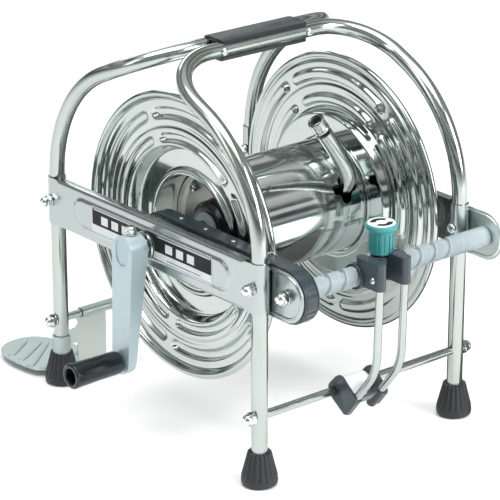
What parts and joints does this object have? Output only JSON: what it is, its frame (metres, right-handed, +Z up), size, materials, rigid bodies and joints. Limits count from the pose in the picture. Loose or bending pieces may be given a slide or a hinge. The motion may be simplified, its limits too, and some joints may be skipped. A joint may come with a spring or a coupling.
{
  "type": "fire hose reel",
  "caption": "Portable stainless hose reel on a bent tube frame with rubber feet, crank driven drum, gear driven hose guide, carrying handle and foot pedal.",
  "frame": {"origin": "on the floor, at the middle of the bounding box's footprint", "axes": "+Z up from the feet; X along the drum's axle, with the crank on the -X side; +Y towards the foot pedal and away from the hose guide"},
  "size_m": [0.4116, 0.4956, 0.3986],
  "materials": {
    "polished_steel": "polished stainless steel tube, rod and pressed sheet",
    "brushed_plate": "satin stainless sheet, brushed lengthwise",
    "bright_fastener": "bright plated cap nuts and screws",
    "black_plastic": "satin moulded plastic, fine grain",
    "slate_plastic": "satin moulded plastic, slate black",
    "black_rubber": "moulded rubber",
    "grey_nylon": "moulded grey nylon",
    "white_plastic": "white moulded plastic",
    "teal_plastic": "semi-gloss moulded plastic",
    "crank_enamel": "light blue-grey enamel on a die casting",
    "label_film": "thin plain printed film"
  },
  "bodies": {
    "frame": {"front_frame_tube": "polished_steel", "rear_frame_tube": "polished_steel", "handle_grip_top": "black_plastic", "handle_grip_bottom": "black_plastic", "handle_screw_near": "bright_fastener", "handle_screw_far": "bright_fastener", "foot_near_front": "black_rubber", "foot_near_rear": "black_rubber", "foot_far_front": "black_rubber", "foot_far_rear": "black_rubber", "front_cross_rod": "polished_steel", "rear_cross_rod": "polished_steel", "rod_cap_nut_near_front": "bright_fastener", "rod_cap_nut_near_rear": "bright_fastener", "rod_cap_nut_far_front": "bright_fastener", "rod_cap_nut_far_rear": "bright_fastener", "near_side_plate": "brushed_plate", "far_side_plate": "brushed_plate", "label_plate": "label_film", "plate_bolt_near_front": "bright_fastener", "plate_bolt_near_rear": "bright_fastener", "plate_bolt_far_front": "bright_fastener", "plate_bolt_far_rear": "bright_fastener", "crank_collar": "black_plastic", "far_bearing": "grey_nylon", "near_end_bracket": "brushed_plate", "far_end_bracket": "brushed_plate", "gear_case_shell": "slate_plastic", "gear_case_cover": "slate_plastic", "foot_pedal": "brushed_plate"},
    "drum": {"near_flange": "polished_steel", "far_flange": "polished_steel", "drum_barrel": "polished_steel", "near_barrel_plate": "polished_steel", "far_barrel_plate": "polished_steel", "near_drum_hub": "black_plastic", "far_drum_hub": "black_plastic", "hub_bush": "grey_nylon", "axle": "polished_steel", "outlet_pipe": "polished_steel", "drive_gear": "grey_nylon", "crank_arm": "crank_enamel", "crank_set_bolt": "bright_fastener", "grip_spindle": "polished_steel"},
    "crank_grip": {"crank_grip": "black_plastic"},
    "idler_1": {"idler_gear_1": "grey_nylon"},
    "idler_2": {"idler_gear_2": "grey_nylon"},
    "idler_3": {"idler_gear_3": "grey_nylon"},
    "reversing_screw": {"worm_screw": "grey_nylon", "worm_pinion": "grey_nylon", "worm_end_nut": "bright_fastener"},
    "carriage": {"carriage_body": "slate_plastic", "guide_rod_near": "polished_steel", "guide_rod_far": "polished_steel", "lower_guide_bracket": "slate_plastic"},
    "knob": {"traverse_knob": "teal_plastic", "knob_disc": "white_plastic", "follower_pawl": "brushed_plate"},
    "roller": {"guide_roller": "white_plastic"},
    "inlet": {"inlet_elbow": "slate_plastic"}
  },
  "joints": [
    {"name": "drum_spin", "type": "hinge", "parent": "frame", "child": "drum", "pos_m": [0.03025, -0.02326, 0.202], "axis": [1, 0, 0], "continuous": true},
    {"name": "crank_grip_spin", "type": "hinge", "parent": "drum", "child": "crank_grip", "pos_m": [-0.17575, -0.02326, 0.0875], "axis": [1, 0, 0], "continuous": true},
    {"name": "idler_1_spin", "type": "hinge", "parent": "frame", "child": "idler_1", "pos_m": [-0.07975, -0.07051, 0.20137], "axis": [1, 0, 0], "continuous": true},
    {"name": "idler_2_spin", "type": "hinge", "parent": "frame", "child": "idler_2", "pos_m": [-0.07975, -0.11776, 0.20075], "axis": [1, 0, 0], "continuous": true},
    {"name": "idler_3_spin", "type": "hinge", "parent": "frame", "child": "idler_3", "pos_m": [-0.07975, -0.16501, 0.20012], "axis": [1, 0, 0], "continuous": true},
    {"name": "screw_spin", "type": "hinge", "parent": "frame", "child": "reversing_screw", "pos_m": [0.03025, -0.21226, 0.1995], "axis": [1, 0, 0], "continuous": true},
    {"name": "carriage_slide", "type": "slide", "parent": "frame", "child": "carriage", "axis": [1, 0, 0], "range_m": [-0.06, 0.086]},
    {"name": "knob_lift", "type": "slide", "parent": "carriage", "child": "knob", "axis": [0, 0, 1], "range_m": [0, 0.006]},
    {"name": "roller_spin", "type": "hinge", "parent": "carriage", "child": "roller", "pos_m": [0.01795, -0.18526, 0.071], "axis": [1, 0, 0], "continuous": true},
    {"name": "inlet_swivel", "type": "hinge", "parent": "frame", "child": "inlet", "pos_m": [0.19525, -0.02326, 0.202], "axis": [1, 0, 0], "continuous": true}
  ],
  "couplings": [
    {"joint": "idler_1_spin", "follows": "drum_spin", "ratio": -1},
    {"joint": "idler_2_spin", "follows": "drum_spin", "ratio": 1},
    {"joint": "idler_3_spin", "follows": "drum_spin", "ratio": -1},
    {"joint": "screw_spin", "follows": "drum_spin", "ratio": 1}
  ]
}
